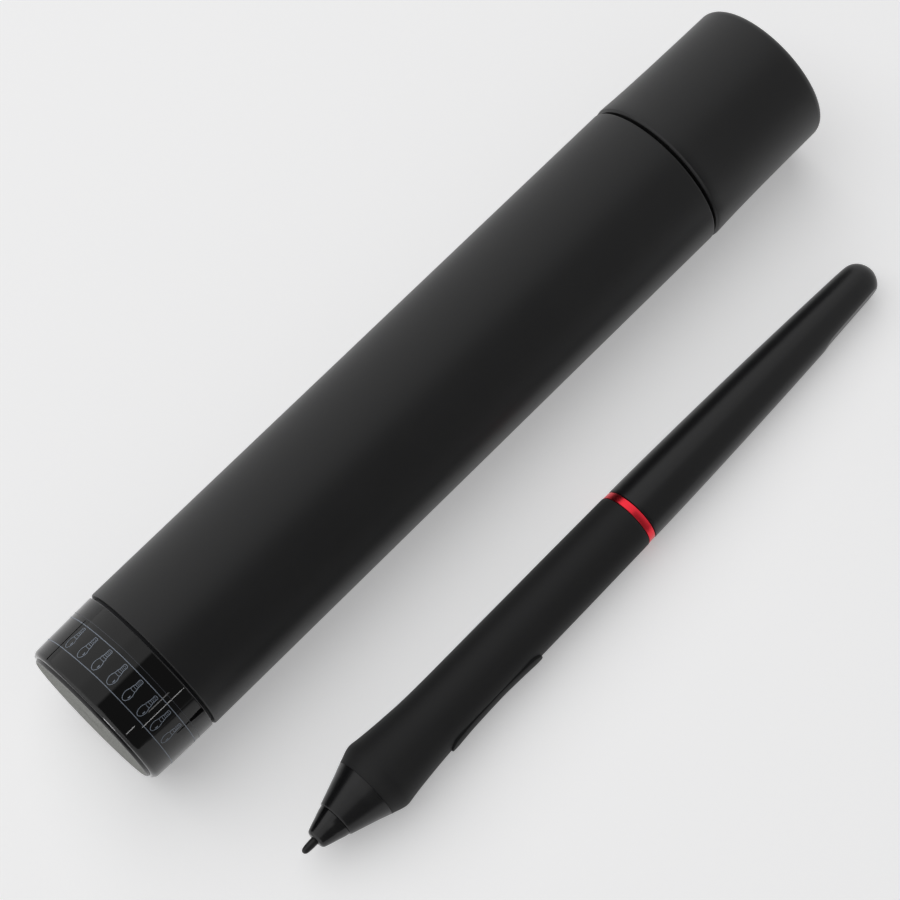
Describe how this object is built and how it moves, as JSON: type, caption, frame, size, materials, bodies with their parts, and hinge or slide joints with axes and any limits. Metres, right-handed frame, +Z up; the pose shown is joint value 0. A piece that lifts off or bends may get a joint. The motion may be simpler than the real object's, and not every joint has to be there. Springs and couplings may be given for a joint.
{
  "type": "drawing tablet pen with case",
  "caption": "Battery-free drawing tablet pen with rubber grip, side rocker and red ring, lying beside its round black storage case with pull-off cap and clear spare-nib store.",
  "frame": {"origin": "centre of the underside of the whole set's box, on the table the case and pen lie on", "axes": "+X along the case from the nib store towards the cap, +Z up from the table, the pen lies on the -Y side of the case with its point towards -X"},
  "size_m": [0.1888, 0.0698, 0.034],
  "materials": {
    "soft_touch_black": "soft-touch matte",
    "liner_black": "moulded matte",
    "o_ring_rubber": "smooth",
    "foam_grey": "foam",
    "smoke_clear": "polished, smoke tint, clear",
    "disc_grey": "fine texture",
    "rack_black": "satin",
    "steel": "plain",
    "nib_black": "hard matte",
    "nose_gloss": "gloss",
    "cone_satin": "satin",
    "grip_rubber": "fine matte",
    "core_plastic": "moulded",
    "red_anodised": "polished, red anodised",
    "rear_satin": "satin",
    "rocker_satin": "satin",
    "ferrite": "sintered",
    "bobbin_plastic": "moulded",
    "copper": "enamelled wire",
    "sensor_plastic": "moulded",
    "board_green": "solder mask",
    "chip_black": "moulded"
  },
  "bodies": {
    "case": {"case_tube": "soft_touch_black", "tube_liner": "liner_black", "neck_collar": "liner_black", "neck_o_ring": "o_ring_rubber"},
    "cap": {"cap_shell": "soft_touch_black", "cap_liner": "liner_black", "cap_pad": "foam_grey"},
    "nib_store": {"window_ring": "smoke_clear", "base_disc": "disc_grey", "nib_rack": "rack_black", "store_o_ring": "o_ring_rubber", "nib_puller": "steel"},
    "spare_nib_1": {"spare_nib_1": "nib_black"},
    "spare_nib_2": {"spare_nib_2": "nib_black"},
    "spare_nib_3": {"spare_nib_3": "nib_black"},
    "spare_nib_4": {"spare_nib_4": "nib_black"},
    "spare_nib_5": {"spare_nib_5": "nib_black"},
    "spare_nib_6": {"spare_nib_6": "nib_black"},
    "spare_nib_7": {"spare_nib_7": "nib_black"},
    "spare_nib_8": {"spare_nib_8": "nib_black"},
    "pen": {"nose_tip": "nose_gloss", "nose_cone": "cone_satin", "rubber_grip": "grip_rubber", "barrel_core": "core_plastic", "red_ring": "red_anodised", "rear_barrel": "rear_satin", "rocker_pin": "steel", "ferrite_core": "ferrite", "coil_bobbin": "bobbin_plastic", "coil_winding": "copper", "return_spring": "steel", "pressure_sensor": "sensor_plastic", "board_carrier": "core_plastic", "circuit_board": "board_green", "switch_front": "sensor_plastic", "switch_rear": "sensor_plastic", "board_components": "chip_black", "coil_leads": "copper"},
    "plunger": {"nib_plunger": "core_plastic"},
    "nib": {"pen_nib": "nib_black"},
    "rocker": {"side_rocker": "rocker_satin"}
  },
  "joints": [
    {"name": "cap_pull", "type": "slide", "parent": "case", "child": "cap", "axis": [1, 0, 0], "range_m": [0, 0.06]},
    {"name": "nib_store_pull", "type": "slide", "parent": "case", "child": "nib_store", "axis": [-1, 0, 0], "range_m": [0, 0.03]},
    {"name": "spare_nib_1_lift", "type": "slide", "parent": "nib_store", "child": "spare_nib_1", "axis": [1, 0, 0], "range_m": [0, 0.014]},
    {"name": "spare_nib_2_lift", "type": "slide", "parent": "nib_store", "child": "spare_nib_2", "axis": [1, 0, 0], "range_m": [0, 0.014]},
    {"name": "spare_nib_3_lift", "type": "slide", "parent": "nib_store", "child": "spare_nib_3", "axis": [1, 0, 0], "range_m": [0, 0.014]},
    {"name": "spare_nib_4_lift", "type": "slide", "parent": "nib_store", "child": "spare_nib_4", "axis": [1, 0, 0], "range_m": [0, 0.014]},
    {"name": "spare_nib_5_lift", "type": "slide", "parent": "nib_store", "child": "spare_nib_5", "axis": [1, 0, 0], "range_m": [0, 0.014]},
    {"name": "spare_nib_6_lift", "type": "slide", "parent": "nib_store", "child": "spare_nib_6", "axis": [1, 0, 0], "range_m": [0, 0.014]},
    {"name": "spare_nib_7_lift", "type": "slide", "parent": "nib_store", "child": "spare_nib_7", "axis": [1, 0, 0], "range_m": [0, 0.014]},
    {"name": "spare_nib_8_lift", "type": "slide", "parent": "nib_store", "child": "spare_nib_8", "axis": [1, 0, 0], "range_m": [0, 0.014]},
    {"name": "pen_pick_up", "type": "slide", "parent": "case", "child": "pen", "axis": [0, 0, 1], "range_m": [0, 0.12]},
    {"name": "nib_press", "type": "slide", "parent": "pen", "child": "plunger", "axis": [0.9997, 0.0142, -0.021], "range_m": [0, 0.0004]},
    {"name": "nib_change", "type": "slide", "parent": "plunger", "child": "nib", "axis": [-0.9997, -0.0142, 0.021], "range_m": [0, 0.02]},
    {"name": "rocker_tilt", "type": "hinge", "parent": "pen", "child": "rocker", "pos_m": [-0.03681, -0.03088, 0.00737], "axis": [0.021, 0.0003, 0.9998], "range_deg": [-1.5, 1.5]}
  ]
}
